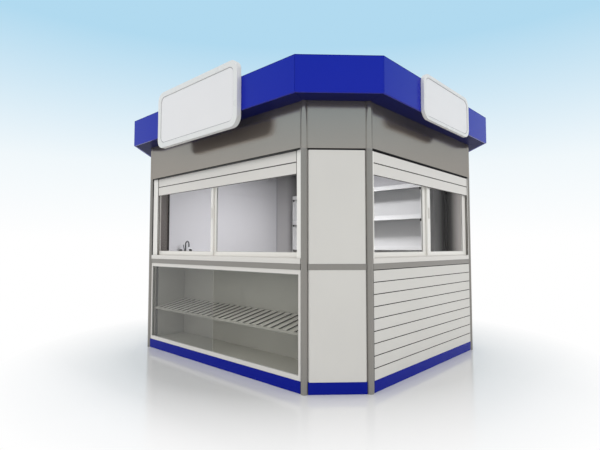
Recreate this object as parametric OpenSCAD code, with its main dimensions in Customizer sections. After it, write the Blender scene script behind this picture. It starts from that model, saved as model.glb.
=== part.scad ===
// Eight-sided sales kiosk: a panelled cabin with chamfered corners, two serving hatches with roller
// shutters, a glazed showcase under the front hatch, a slatted panel under the side hatch, a deep
// fascia round the roof and two bare light-box signs.
// Origin: middle of the plan at ground level. +X runs along the front, +Y to the rear, +Z up.

/* [Plan] */
// Length of the front and rear bays between post centres
front_bay = 2500; // [2000:10:3200]
// Length of the side bays between post centres
side_bay = 2070; // [1900:10:2800]
// Length of the chamfered corner bays between post centres
corner_bay = 540; // [440:10:800]
// Diameter of the round corner posts
post_d = 58; // [50:1:70]
// Width of the panel slots that run up the posts
post_slot_w = 8; // [4:0.5:10]
// Depth of the panel slots that run up the posts
post_slot_depth = 9; // [4:0.5:12]
// Thickness of the wall panels
wall_t = 71; // [64:1:100]
// How far the wall's outer face lies outside the line of the post centres
wall_out = 19; // [14:1:26]
// Width of the shadow gap between a corner panel's face and the posts beside it
corner_gap_w = 8; // [4:0.5:14]
// Depth of the shadow gap between a corner panel's face and the posts beside it
corner_gap_depth = 16; // [8:1:24]
// Clearance between neighbouring pieces
fit_gap = 0.3; // [0.2:0.1:0.5]

/* [Heights] */
// Height of the plinth, which is also the floor level
plinth_h = 98; // [80:1:140]
// Height of the showcase and of the panels under the belt
lower_h = 900; // [700:10:950]
// Height of the belt rail
belt_h = 50; // [35:1:80]
// Height from the belt to the head rail
hatch_h = 941; // [800:1:1100]
// Height of the dark recessed head rail
head_rail_h = 14; // [8:1:25]
// Height of the panels over the head rail
head_h = 402; // [300:1:500]

/* [Floor and plinth] */
// Thickness of the plinth boards
plinth_t = 20; // [12:1:25]
// Thickness of the floor deck
deck_t = 38; // [20:1:45]
// Width of a floor joist
joist_w = 60; // [40:1:100]
// Number of floor joists
joist_count = 5; // [3:2:9]
// How far a joist stops short of the line of the post centres
joist_end_gap = 60; // [50:1:120]

/* [Roof] */
// How far the fascia stands outside the line of the post centres
fascia_out = 208; // [150:1:300]
// Height of the fascia
fascia_h = 300; // [220:1:420]
// Thickness of the fascia boards
fascia_t = 20; // [12:1:35]
// Thickness of the soffit boards and of the ceiling
soffit_t = 15; // [8:1:25]
// Thickness of the roof deck
roof_t = 60; // [40:1:100]
// How far the head rail is set back from the wall face
head_rail_inset = 18; // [8:1:30]

/* [Serving hatches] */
// Height of the sill under a hatch
sill_h = 45; // [30:1:60]
// How far the inner edge of the front shutter guides is set back from the wall face
front_guide_inset = 35; // [20:1:42]
// How far the side shutter guides are set back from the wall face
side_guide_inset = 0; // [0:1:40]
// Width of a front shutter guide
front_guide_w = 70; // [20:1:90]
// Width of a side shutter guide
side_guide_w = 14; // [13:1:60]
// How far a front shutter guide slopes out from its inner edge to the post
front_guide_slope = 18; // [0:1:19]
// Depth of a shutter guide
guide_depth = 26; // [22:1:30]
// Depth of the groove that the shutter runs in
guide_groove = 9; // [6:0.5:10]
// How far the slats lie behind the face of their guides
slat_inset = 4; // [3:0.5:7]
// Thickness of a shutter slat
slat_t = 10; // [8:1:14]
// Height of one shutter slat
slat_h = 101; // [60:1:130]
// Number of shutter slats left hanging in the hatch
slat_count = 2; // [1:1:5]
// Height of the dark seam between two slats
seam_h = 6; // [2:0.5:8]
// Width of the jambs and head of the front window frame
front_jamb_w = 14; // [10:1:40]
// Width of the jambs and head of the side window frame
side_jamb_w = 28; // [10:1:45]
// Height of the track at the bottom of the fixed window frame
track_h = 8; // [4:1:14]
// Width of the front sashes' stiles
front_stile_w = 37; // [30:1:60]
// Width of the side sashes' stiles
side_stile_w = 63; // [30:1:70]
// Height of the sashes' rails
sash_rail_h = 38; // [30:1:60]
// Where the two front sashes meet, from the middle of the bay
front_meet_x = -74; // [-300:1:300]
// Where the two side sashes meet, from the middle of the bay
side_meet_x = 30; // [-300:1:300]
// How far the two sashes of a hatch overlap where they meet
sash_lap = 8; // [0:1:25]
// Thickness of a sliding sash
sash_t = 18; // [14:1:20]
// Gap between the two sliding sashes, in front of them and behind them
sash_gap = 4; // [2:0.5:6]
// Thickness of the window glass
glass_t = 5; // [4:1:8]
// How far the glass is let into the sash
glass_bite = 8; // [5:1:12]

/* [Showcase] */
// How far the showcase frame is set back from the wall face
case_inset = 6; // [0:1:12]
// Width of the strips at the sides of the showcase
case_side_w = 26; // [18:1:45]
// Height of the strip under the showcase glass
case_bottom_h = 39; // [30:1:80]
// Height of the strip over the showcase glass
case_top_h = 37; // [25:1:60]
// Depth of the showcase frame
case_frame_depth = 30; // [26:1:45]
// Thickness of the lip in front of the showcase glass
case_lip = 10; // [6:1:14]
// Thickness of the showcase glass
case_glass_t = 6; // [5:1:10]
// How far the showcase glass is let into its frame
case_glass_bite = 10; // [6:1:12]
// Inner depth of the showcase behind its frame
case_depth = 415; // [300:5:520]
// Thickness of the showcase boards
case_board = 18; // [12:1:25]
// Thickness of the counter top over the showcase
counter_t = 30; // [20:1:40]
// How far the counter top stands out over the showcase back
counter_nose = 25; // [0:1:60]

/* [Display rack] */
// Height of the rack's front rail over the floor
rack_front_z = 366; // [200:1:480]
// Height of the rack's back rail over the floor
rack_back_z = 445; // [300:1:600]
// Width of the rack's slats
rack_slat_w = 56; // [20:1:80]
// Thickness of the rack's slats
rack_slat_t = 10; // [6:0.5:14]
// Number of the rack's slats
rack_slat_count = 25; // [10:1:28]
// Height of the rack's front and back rails
rack_rail_h = 20; // [17:0.5:30]
// Thickness of the rack's front and back rails
rack_rail_t = 14; // [8:0.5:20]
// Gap between the showcase frame and the rack
rack_front_gap = 3; // [2:0.5:30]
// Gap between the showcase ends and the outermost slats of the rack
rack_side_gap = 12; // [2:0.5:40]

/* [Slatted panel] */
// Number of slats on the panel under the side hatch
board_count = 9; // [5:1:14]
// Height of the groove between two slats
board_groove = 6; // [3:0.5:12]
// Depth of the groove between two slats
board_relief = 8; // [4:0.5:14]

/* [Door] */
// Overall width of the door frame
door_w = 900; // [800:5:940]
// Width of the door frame members
door_frame_w = 48; // [35:1:70]
// Thickness of the door leaf
leaf_t = 50; // [35:1:60]
// Gap round the door leaf
leaf_gap = 3; // [2:0.5:6]
// Distance from the leaf's edge to the lever handle
handle_inset = 60; // [45:1:90]
// Height of the lever handle over the floor
handle_z = 950; // [850:10:1100]

/* [Signs] */
// Width of the front sign
front_sign_w = 1366; // [900:2:1900]
// Height of the front sign
front_sign_h = 609; // [400:1:800]
// Height of the front sign's lower edge over the ground
front_sign_z = 2257; // [2150:1:2400]
// Width of the side sign
side_sign_w = 1018; // [700:2:1500]
// Height of the side sign
side_sign_h = 420; // [300:1:600]
// Height of the side sign's lower edge over the ground
side_sign_z = 2340; // [2200:1:2450]
// Thickness of the front sign
front_sign_t = 50; // [30:1:80]
// Thickness of the side sign
side_sign_t = 34; // [25:1:80]
// Width of the raised rim round the front sign's face
front_sign_rim = 54; // [15:1:70]
// Width of the raised rim round the side sign's face
side_sign_rim = 30; // [15:1:60]
// Radius of a sign's corners
sign_r = 96; // [70:1:130]
// Depth of a sign's face behind its rim
sign_recess = 7; // [2:0.5:12]

/* [Inside] */
// Number of wall shelves
shelf_count = 3; // [2:1:4]
// Depth of the wall shelves
shelf_depth = 340; // [200:5:420]
// Thickness of a wall shelf's board
shelf_t = 20; // [15:1:30]
// Height of the lip along a wall shelf's front edge
shelf_lip_h = 58; // [35:1:80]
// Thickness of the lip along a wall shelf's front edge
shelf_lip_t = 18; // [10:1:30]
// How far the top shelf stands over the head rails
shelf_rise = 13; // [-40:1:60]
// Distance from one shelf to the next
shelf_pitch = 406; // [250:1:420]
// Thickness of the boards at the ends of the shelves
upright_t = 22; // [16:1:30]
// Gap between the shelves' left end, seen from the front, and the centre of the corner post
shelf_left_gap = 28; // [24:1:100]
// Gap between the shelves' right end, seen from the front, and the centre of the corner post
shelf_right_gap = 188; // [24:1:400]
// Length of the sink counter along the wall
sink_len = 640; // [500:5:750]
// Gap between the sink counter's end and the corner post
sink_end_gap = 10; // [2:1:60]
// Depth of the sink counter
sink_depth = 460; // [380:5:560]
// Thickness of the sink counter
sink_t = 36; // [25:1:50]
// Thickness of the bowl's walls
bowl_wall = 3; // [2:0.5:6]
// Diameter of the sink bowl
bowl_d = 300; // [220:5:340]
// Depth of the sink bowl
bowl_depth = 150; // [100:5:200]
// How far the bowl lies off the middle of the sink counter, towards the door
bowl_side_shift = 60; // [0:1:100]
// How far the bowl lies off the middle of the sink counter, towards the room
bowl_front_shift = 40; // [0:1:60]
// Thickness of the sink's wall brackets
bracket_t = 20; // [12:1:30]
// Height of the sink's wall brackets
bracket_h = 240; // [150:5:320]
// Length of the sink's wall brackets
bracket_len = 270; // [200:5:300]
// Diameter of the tap's spout
spout_d = 18; // [12:1:26]
// Height of the tap over the counter
tap_h = 225; // [150:1:300]
// Radius of the bend of the tap's spout
spout_bend = 40; // [30:1:75]
// Distance between the tap's two knobs
knob_pitch = 150; // [100:1:180]
// Height of the middle of the tap's knobs over the counter
knob_z = 92; // [60:1:130]
// Distance from the sink counter's end to the middle of the tap
tap_end_gap = 200; // [110:1:280]
// Distance from the wall to the middle of the tap
tap_wall_gap = 90; // [60:1:110]

/* [Hidden] */
$fn = 48;

// Bays are counted from the front, turning left to right as seen from outside.
FRONT = 0;
RIGHT = 2;
REAR = 4;
LEFT = 6;
ALL_BAYS = [0:7];
CORNER_BAYS = [1:2:7];

white = [0.86, 0.85, 0.83];
grey = [0.55, 0.53, 0.51];
dark = [0.10, 0.10, 0.11];
blue = [0.12, 0.17, 0.62];
steel = [0.75, 0.76, 0.78];
pane = [0.70, 0.78, 0.82, 0.4];

corner_leg = corner_bay / sqrt(2);
half_w = front_bay / 2 + corner_leg;
half_d = side_bay / 2 + corner_leg;
mitre = tan(22.5);
post_r = post_d / 2;
wall_in = wall_t - wall_out;

belt_z = plinth_h + lower_h;
sill_z = belt_z + belt_h;
head_rail_z = sill_z + hatch_h;
head_z = head_rail_z + head_rail_h;
eaves_z = head_z + head_h;
hatch_z = sill_z + sill_h;
hatch_open_h = hatch_h - sill_h;

// Corners of the plan, moved outwards by a distance, with corner 0 at the left end of the front bay.
function corner(i, out = 0) =
    let (a = front_bay / 2 + out * mitre, b = side_bay / 2 + out * mitre, w = half_w + out, d = half_d + out)
    [[-a, -d], [a, -d], [w, -b], [w, b], [a, d], [-a, d], [-w, b], [-w, -b]][i % 8];
function outline(out) = [for (i = ALL_BAYS) corner(i, out)];
function bay_len(i) = norm(corner(i + 1) - corner(i));
function bay_mid(i) = (corner(i + 1) + corner(i)) / 2;
function bay_dir(i) = [cos(45 * i), sin(45 * i)];
function bay_clear(i) = bay_len(i) - post_d - 2 * fit_gap;

// Puts children on a bay: x along it from its middle, y inwards from the post line, z up.
module on_bay(i) {
    translate(bay_mid(i)) rotate(45 * i) children();
}

// A straight bar from x0 to x1 on a bay, from y0 inwards.
module bar(x0, x1, y0, depth, z0, h) {
    translate([x0, y0, z0]) cube([x1 - x0, depth, h]);
}

// A bar that fills a bay from post to post.
module bay_bar(i, y0, depth, z0, h) {
    on_bay(i) bar(-bay_clear(i) / 2, bay_clear(i) / 2, y0, depth, z0, h);
}

// A board along one bay of the plan with mitred ends, between two distances from the post line.
module mitred_board(i, inner, outer, z0, h) {
    step = bay_dir(i) * fit_gap;
    translate([0, 0, z0]) linear_extrude(h) polygon([
        corner(i, outer) + step, corner(i + 1, outer) - step,
        corner(i + 1, inner) - step, corner(i, inner) + step
    ]);
}

// A rectangle with round corners, centred.
module rounded_rect(w, h, r) {
    square([w - 2 * r, h], center = true);
    square([w, h - 2 * r], center = true);
    for (sx = [-1, 1], sy = [-1, 1]) translate([sx * (w / 2 - r), sy * (h / 2 - r)]) circle(r);
}

// Floor

module floor_joists() {
    joist_h = plinth_h - deck_t;
    run = 2 * (half_d - joist_end_gap - joist_w / 2);
    color("burlywood") for (k = [0:joist_count - 1]) {
        y = -run / 2 + k * run / (joist_count - 1);
        half = min(half_w, front_bay / 2 + half_d - abs(y) - joist_w) - joist_end_gap;
        bar(-half, half, y - joist_w / 2, joist_w, 0, joist_h);
    }
}

module floor_deck() {
    color("silver") difference() {
        translate([0, 0, plinth_h - deck_t]) linear_extrude(deck_t) polygon(outline(wall_out - plinth_t));
        for (i = ALL_BAYS) translate(corner(i)) cylinder(r = post_r + fit_gap, h = 2 * plinth_h);
    }
}

module plinth_boards() {
    color(blue) for (i = ALL_BAYS) bay_bar(i, -wall_out, plinth_t, 0, plinth_h);
}

// Wall frame

// Round post with a slot for the panels of each of the two bays that meet at it.
module post_profile() {
    difference() {
        circle(post_r);
        for (a = [0, 135]) rotate(a) translate([post_r - post_slot_depth, -post_slot_w / 2])
            square([post_slot_depth + 1, post_slot_w]);
    }
}

module corner_posts() {
    color(grey) for (i = ALL_BAYS) translate(corner(i)) linear_extrude(eaves_z) rotate(45 * i) post_profile();
}

module belt_rails() {
    door_edge = door_w - bay_clear(LEFT) / 2;
    color(grey) {
        for (i = ALL_BAYS) if (i != LEFT) bay_bar(i, -wall_out, wall_t, belt_z, belt_h);
        on_bay(LEFT) bar(door_edge + fit_gap, bay_clear(LEFT) / 2, -wall_out, wall_t, belt_z, belt_h);
    }
}

module head_rails() {
    color(dark) for (i = ALL_BAYS)
        bay_bar(i, -wall_out + rail_inset(i), wall_t - rail_inset(i), head_rail_z, head_rail_h);
}

module head_panels() {
    color(grey) for (i = ALL_BAYS) bay_bar(i, -wall_out, wall_t, head_z, head_h);
}

// A corner panel: its face stops short of the posts and its thicker back runs up to them.
module corner_panel(i, z0, h) {
    half = bay_clear(i) / 2;
    face = half - corner_gap_w;
    step_y = -wall_out + corner_gap_depth;
    on_bay(i) translate([0, 0, z0]) linear_extrude(h) polygon([
        [-face, -wall_out], [face, -wall_out], [face, step_y], [half, step_y],
        [half, wall_in], [-half, wall_in], [-half, step_y], [-face, step_y]
    ]);
}

module corner_panels_lower() {
    color(white) for (i = CORNER_BAYS) corner_panel(i, plinth_h, lower_h);
}

module corner_panels_upper() {
    color(white) for (i = CORNER_BAYS) corner_panel(i, sill_z, hatch_h);
}

// Serving hatches

// The two hatches differ in how deep they sit and in the width of their members.
function guide_inset(i) = i == FRONT ? front_guide_inset : side_guide_inset;
function guide_w(i) = i == FRONT ? front_guide_w : side_guide_w;
function guide_slope(i) = i == FRONT ? front_guide_slope : 0;
function jamb_w(i) = i == FRONT ? front_jamb_w : side_jamb_w;
function stile_w(i) = i == FRONT ? front_stile_w : side_stile_w;
function meet_x(i) = i == FRONT ? front_meet_x : side_meet_x;

// The front shutter and its guides run up to the head panel, so the head rail lies behind them.
function slat_y(i) = -wall_out + guide_inset(i) + slat_inset;
function rail_inset(i) = i == FRONT ? guide_inset(i) + guide_depth : head_rail_inset;
function shutter_top(i) = i == FRONT ? head_z : head_rail_z;

function window_y(i) = -wall_out + guide_inset(i) + guide_depth;
window_depth = 2 * sash_t + 3 * sash_gap;

module hatch_sill(i) {
    depth = max(wall_t, wall_out + window_y(i) + window_depth);
    color(white) bay_bar(i, -wall_out, depth, sill_z, sill_h);
}

module shutter_guides(i) {
    half = bay_clear(i) / 2;
    inner = -half + guide_w(i);
    y0 = -wall_out + guide_inset(i);
    h = shutter_top(i) - hatch_z;
    color(white) on_bay(i) for (side = [0, 1]) mirror([side, 0, 0]) difference() {
        translate([0, 0, hatch_z]) linear_extrude(h) polygon([
            [-half, y0 - guide_slope(i)], [inner, y0], [inner, y0 + guide_depth], [-half, y0 + guide_depth]
        ]);
        bar(inner - guide_groove, inner + 1, slat_y(i) - fit_gap, slat_t + 2 * fit_gap, hatch_z - 1, h + 2);
    }
}

// Section of the hanging slats: each slat hooks into the next behind a narrow seam.
module shutter_section() {
    for (k = [0:slat_count - 1]) translate([0, -k * slat_h]) {
        translate([0, -slat_h + seam_h]) square([slat_t, slat_h - seam_h]);
        translate([slat_t / 3, -slat_h]) square([slat_t / 3, seam_h]);
    }
}

module shutter(i) {
    reach = bay_clear(i) / 2 - guide_w(i) + guide_groove - fit_gap;
    color(white) on_bay(i) translate([-reach, slat_y(i), shutter_top(i)]) rotate([90, 0, 90])
        linear_extrude(2 * reach) shutter_section();
}

module window_frame(i) {
    half = bay_clear(i) / 2;
    color(white) on_bay(i) difference() {
        bar(-half, half, window_y(i), window_depth, hatch_z, hatch_open_h);
        bar(-half + jamb_w(i), half - jamb_w(i), window_y(i) - 1, window_depth + 2, hatch_z + track_h,
            hatch_open_h - track_h - jamb_w(i));
    }
}

// The two sashes of a hatch, 0 the left one and 1 the right one. The one farther from the corner
// between the two hatches runs on the outer track, and the other one reaches behind it.
function sash_track(i, s) = i == FRONT ? s : 1 - s;
function sash_reach(i, s) = sash_track(i, s) * sash_lap;
function sash_x0(i, s) = s == 0 ? -bay_clear(i) / 2 + jamb_w(i) + fit_gap : meet_x(i) - sash_reach(i, s);
function sash_x1(i, s) = s == 0 ? meet_x(i) + sash_reach(i, s) : bay_clear(i) / 2 - jamb_w(i) - fit_gap;
function sash_y(i, s) = window_y(i) + sash_gap + sash_track(i, s) * (sash_t + sash_gap);
function sash_h(i) = hatch_open_h - track_h - jamb_w(i) - fit_gap;
sash_z = hatch_z + track_h;

module window_sashes(i) {
    color(white) on_bay(i) for (s = [0, 1]) difference() {
        x0 = sash_x0(i, s);
        x1 = sash_x1(i, s);
        bar(x0, x1, sash_y(i, s), sash_t, sash_z, sash_h(i));
        bar(x0 + stile_w(i), x1 - stile_w(i), sash_y(i, s) - 1, sash_t + 2, sash_z + sash_rail_h,
            sash_h(i) - 2 * sash_rail_h);
        sash_glass(i, s, fit_gap);
    }
}

// A pane let into the grooves of its sash on all four sides.
module sash_glass(i, s, spare) {
    side = stile_w(i) - glass_bite - spare;
    rail = sash_rail_h - glass_bite - spare;
    bar(sash_x0(i, s) + side, sash_x1(i, s) - side, sash_y(i, s) + (sash_t - glass_t) / 2 - spare,
        glass_t + 2 * spare, sash_z + rail, sash_h(i) - 2 * rail);
}

module window_glass(i) {
    color(pane) on_bay(i) for (s = [0, 1]) sash_glass(i, s, 0);
}

module front_sill() { hatch_sill(FRONT); }
module front_shutter_guides() { shutter_guides(FRONT); }
module front_shutter() { shutter(FRONT); }
module front_window_frame() { window_frame(FRONT); }
module front_window_sashes() { window_sashes(FRONT); }
module front_window_glass() { window_glass(FRONT); }
module right_sill() { hatch_sill(RIGHT); }
module right_shutter_guides() { shutter_guides(RIGHT); }
module right_shutter() { shutter(RIGHT); }
module right_window_frame() { window_frame(RIGHT); }
module right_window_sashes() { window_sashes(RIGHT); }
module right_window_glass() { window_glass(RIGHT); }

// Showcase under the front hatch

case_half = bay_clear(FRONT) / 2;
case_face_y = -wall_out + case_inset;
case_y = case_face_y + case_frame_depth;
case_top_z = belt_z - counter_t;

module showcase_frame() {
    color(white) on_bay(FRONT) difference() {
        bar(-case_half, case_half, case_face_y, case_frame_depth, plinth_h, lower_h);
        bar(-case_half + case_side_w, case_half - case_side_w, case_face_y - 1, case_frame_depth + 2,
            plinth_h + case_bottom_h, lower_h - case_bottom_h - case_top_h);
        bar(-case_half + case_side_w - case_glass_bite, case_half - case_side_w + case_glass_bite,
            case_face_y + case_lip, case_frame_depth, plinth_h + case_bottom_h - case_glass_bite,
            lower_h - case_bottom_h - case_top_h + 2 * case_glass_bite);
    }
}

module showcase_glass() {
    half = case_half - case_side_w + case_glass_bite - fit_gap;
    h = lower_h - case_bottom_h - case_top_h + 2 * (case_glass_bite - fit_gap);
    z0 = plinth_h + case_bottom_h - case_glass_bite + fit_gap;
    color(pane) on_bay(FRONT) for (side = [0, 1]) mirror([side, 0, 0])
        bar(fit_gap, half, case_face_y + case_lip, case_glass_t, z0, h);
}

module showcase_back() {
    color(white) on_bay(FRONT)
        bar(-case_half, case_half, case_y + case_depth, case_board, plinth_h, case_top_z - plinth_h);
}

module showcase_ends() {
    color(white) on_bay(FRONT) for (side = [0, 1]) mirror([side, 0, 0])
        bar(case_half - case_board, case_half, case_y, case_depth, plinth_h, case_top_z - plinth_h);
}

module showcase_floor() {
    half = case_half - case_board;
    color(white) on_bay(FRONT) bar(-half, half, case_y, case_depth, plinth_h, case_board);
}

module counter_top() {
    color(white) on_bay(FRONT)
        bar(-case_half, case_half, case_y, case_depth + case_board + counter_nose, case_top_z, counter_t);
}

// Sloping rack: flat slats from the front rail up to the back rail, which runs along the showcase back.
module display_rack() {
    half = case_half - case_board - fit_gap;
    y0 = case_y + rack_front_gap;
    y1 = case_y + case_depth - fit_gap - rack_rail_t;
    z0 = plinth_h + rack_front_z;
    z1 = plinth_h + rack_back_z;
    slat_x0 = -half + rack_side_gap;
    pitch = (-2 * slat_x0 - rack_slat_w) / (rack_slat_count - 1);
    color(white) on_bay(FRONT) {
        for (end = [[y0, z0], [y1, z1]])
            bar(-half, half, end[0], rack_rail_t, end[1] - rack_rail_h / 2, rack_rail_h);
        for (k = [0:rack_slat_count - 1]) translate([slat_x0 + k * pitch, y0 + rack_rail_t / 2, z0])
            rotate([atan2(z1 - z0, y1 - y0), 0, 0])
                bar(0, rack_slat_w, 0, norm([y1 - y0, z1 - z0]), -rack_slat_t / 2, rack_slat_t);
    }
}

// Side, rear and left walls

// Section of the slatted panel: each slat leans out a little towards its lower edge.
module slat_section() {
    pitch = lower_h / board_count;
    polygon(concat(
        [[wall_t, 0]], [[wall_t, lower_h]],
        [for (k = [board_count - 1:-1:0]) each [
            [board_relief, (k + 1) * pitch], [board_relief, (k + 1) * pitch - board_groove],
            [0, (k + 1) * pitch - board_groove], [0, k * pitch]
        ]]
    ));
}

module right_slat_panel() {
    half = bay_clear(RIGHT) / 2;
    color(white) on_bay(RIGHT) translate([-half, -wall_out, plinth_h]) rotate([90, 0, 90])
        linear_extrude(2 * half) slat_section();
}

module rear_panels() {
    color(white) {
        bay_bar(REAR, -wall_out, wall_t, plinth_h, lower_h);
        bay_bar(REAR, -wall_out, wall_t, sill_z, hatch_h);
    }
}

// The door takes the rear end of the left bay, which is its low x end.
door_x0 = -bay_clear(LEFT) / 2;
door_x1 = door_x0 + door_w;
door_h = head_rail_z - plinth_h;

module left_panels() {
    color(white) on_bay(LEFT) {
        bar(door_x1 + fit_gap, bay_clear(LEFT) / 2, -wall_out, wall_t, plinth_h, lower_h);
        bar(door_x1 + fit_gap, bay_clear(LEFT) / 2, -wall_out, wall_t, sill_z, hatch_h);
    }
}

module door_frame() {
    color(grey) on_bay(LEFT) difference() {
        bar(door_x0, door_x1, -wall_out, wall_t, plinth_h, door_h);
        bar(door_x0 + door_frame_w, door_x1 - door_frame_w, -wall_out - 1, wall_t + 2, plinth_h - 1,
            door_h - door_frame_w + 1);
    }
}

// The door leaf lies flush with the wall's inner face.
leaf_y = wall_in - leaf_t;

module door_leaf() {
    color(white) on_bay(LEFT)
        bar(door_x0 + door_frame_w + leaf_gap, door_x1 - door_frame_w - leaf_gap, leaf_y, leaf_t,
            plinth_h, door_h - door_frame_w - leaf_gap);
}

// Lever handles on both faces of the door leaf.
module door_handles() {
    rose_d = 52;
    rose_t = 8;
    neck_d = 18;
    lever_len = 125;
    stand_off = 46;
    lock_x = door_x1 - door_frame_w - leaf_gap - handle_inset;
    color(steel) on_bay(LEFT) for (face = [0, 1])
        translate([lock_x, face == 0 ? leaf_y : wall_in, plinth_h + handle_z])
            rotate([face == 0 ? 90 : -90, 0, 0]) {
                cylinder(d = rose_d, h = rose_t);
                cylinder(d = neck_d, h = stand_off);
                translate([0, 0, stand_off]) rotate([0, -90, 0]) cylinder(d = neck_d, h = lever_len);
                translate([0, 0, stand_off]) sphere(d = neck_d);
            }
}

// Roof

fascia_in = fascia_out - fascia_t;
roof_z = eaves_z + soffit_t;

module fascia_boards() {
    color(blue) for (i = ALL_BAYS) mitred_board(i, fascia_in, fascia_out, eaves_z, fascia_h);
}

module soffit_boards() {
    color(blue) for (i = ALL_BAYS) mitred_board(i, -wall_in, fascia_in, eaves_z, soffit_t);
}

module roof_deck() {
    color(grey) translate([0, 0, roof_z]) linear_extrude(roof_t) polygon(outline(fascia_in));
}

module ceiling_panel() {
    color(white) translate([0, 0, eaves_z]) linear_extrude(soffit_t) polygon(outline(-wall_in - fit_gap));
}

// Light-box sign on the fascia of a bay: a shallow box with round corners and a rim round its face.
module sign_box(i, w, h, z0, t, rim) {
    color(white) on_bay(i) translate([0, -fascia_out, z0 + h / 2]) rotate([90, 0, 0]) difference() {
        linear_extrude(t) rounded_rect(w, h, sign_r);
        translate([0, 0, t - sign_recess]) linear_extrude(sign_recess + 1)
            rounded_rect(w - 2 * rim, h - 2 * rim, sign_r - rim / 2);
    }
}

module front_sign() {
    sign_box(FRONT, front_sign_w, front_sign_h, front_sign_z, front_sign_t, front_sign_rim);
}

module right_sign() {
    sign_box(RIGHT, side_sign_w, side_sign_h, side_sign_z, side_sign_t, side_sign_rim);
}

// Inside

// The rear bay is turned round, so its high x end is the left one seen from the front.
shelf_x0 = -bay_len(REAR) / 2 + shelf_right_gap;
shelf_x1 = bay_len(REAR) / 2 - shelf_left_gap;
shelf_top_z = head_z + shelf_rise;

module wall_shelves() {
    run = shelf_x1 - shelf_x0 - 2 * upright_t;
    lip_y = shelf_depth - shelf_lip_t;
    color(white) on_bay(REAR) for (k = [0:shelf_count - 1])
        translate([shelf_x0 + upright_t, wall_in, shelf_top_z - k * shelf_pitch]) rotate([90, 0, 90])
            linear_extrude(run) polygon([
                [0, 0], [0, -shelf_t], [lip_y, -shelf_t],
                [lip_y, -shelf_lip_h], [shelf_depth, -shelf_lip_h], [shelf_depth, 0]
            ]);
}

module shelf_uprights() {
    color(white) on_bay(REAR) for (x = [shelf_x0, shelf_x1 - upright_t])
        bar(x, x + upright_t, wall_in, shelf_depth, plinth_h, shelf_top_z - plinth_h);
}

sink_x1 = bay_clear(LEFT) / 2 - sink_end_gap;
sink_x0 = sink_x1 - sink_len;
sink_z = sill_z;
tap_x = sink_x1 - tap_end_gap;
tap_y = wall_in + tap_wall_gap;

// Counter with a pressed round bowl, carried by two wall brackets.
module sink_counter() {
    bowl_x = (sink_x0 + sink_x1) / 2 - bowl_side_shift;
    bowl_y = wall_in + sink_depth / 2 + bowl_front_shift;
    color(white) on_bay(LEFT) difference() {
        union() {
            bar(sink_x0, sink_x1, wall_in, sink_depth, sink_z - sink_t, sink_t);
            translate([bowl_x, bowl_y, sink_z - bowl_depth])
                cylinder(d = bowl_d, h = bowl_depth - sink_t / 2);
            for (x = [sink_x0, sink_x1 - bracket_t]) translate([x, wall_in, sink_z - sink_t])
                rotate([90, 0, 90]) linear_extrude(bracket_t)
                    polygon([[0, 0], [bracket_len, 0], [0, -bracket_h]]);
        }
        translate([bowl_x, bowl_y, sink_z - bowl_depth + bowl_wall])
            cylinder(d = bowl_d - 2 * bowl_wall, h = bowl_depth);
    }
}

// Two-knob mixer: a base bar with a swan-neck spout and a lever between two knobs on stems.
module mixer_tap() {
    base_d = 34;
    base_h = 26;
    stem_d = 18;
    knob_d = 40;
    knob_h = 36;
    outlet_h = 36;
    lever_d = 10;
    lever_len = 150;
    lever_lean = 14;
    rise = tap_h - spout_bend - spout_d / 2;
    color(steel) on_bay(LEFT) translate([tap_x, tap_y, sink_z]) {
        for (side = [-1, 0, 1]) translate([side * knob_pitch / 2, 0, 0]) cylinder(d = base_d, h = base_h);
        translate([-knob_pitch / 2, 0, base_h / 2]) rotate([0, 90, 0]) cylinder(d = stem_d, h = knob_pitch);
        for (side = [-1, 1]) translate([side * knob_pitch / 2, 0, 0]) {
            cylinder(d = stem_d, h = knob_z);
            translate([0, 0, knob_z - knob_h / 2]) cylinder(d = knob_d, h = knob_h, $fn = 8);
        }
        cylinder(d = spout_d, h = rise);
        translate([0, spout_bend, rise]) rotate([90, 0, 90]) rotate_extrude(angle = 180)
            translate([spout_bend, 0]) circle(d = spout_d);
        translate([0, 2 * spout_bend, rise - outlet_h]) cylinder(d = spout_d, h = outlet_h);
        translate([0, 0, base_h]) rotate([0, lever_lean, 0]) cylinder(d = lever_d, h = lever_len);
    }
}

floor_joists();
floor_deck();
plinth_boards();
corner_posts();
belt_rails();
head_rails();
head_panels();
corner_panels_lower();
corner_panels_upper();
front_sill();
front_shutter_guides();
front_shutter();
front_window_frame();
front_window_sashes();
front_window_glass();
right_sill();
right_shutter_guides();
right_shutter();
right_window_frame();
right_window_sashes();
right_window_glass();
showcase_frame();
showcase_glass();
showcase_back();
showcase_ends();
showcase_floor();
counter_top();
display_rack();
right_slat_panel();
rear_panels();
left_panels();
door_frame();
door_leaf();
door_handles();
fascia_boards();
soffit_boards();
roof_deck();
ceiling_panel();
front_sign();
right_sign();
wall_shelves();
shelf_uprights();
sink_counter();
mixer_tap();
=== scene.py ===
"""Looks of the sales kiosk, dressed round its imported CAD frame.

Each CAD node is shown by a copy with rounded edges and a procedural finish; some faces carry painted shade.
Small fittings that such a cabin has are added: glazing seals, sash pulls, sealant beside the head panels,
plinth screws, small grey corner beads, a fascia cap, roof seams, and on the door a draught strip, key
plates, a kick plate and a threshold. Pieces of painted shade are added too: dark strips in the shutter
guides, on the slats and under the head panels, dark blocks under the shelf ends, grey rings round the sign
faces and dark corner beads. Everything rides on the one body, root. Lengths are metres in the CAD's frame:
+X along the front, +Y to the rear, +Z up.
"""

import math

import bmesh
import bpy
from mathutils import Matrix, Vector


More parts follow.
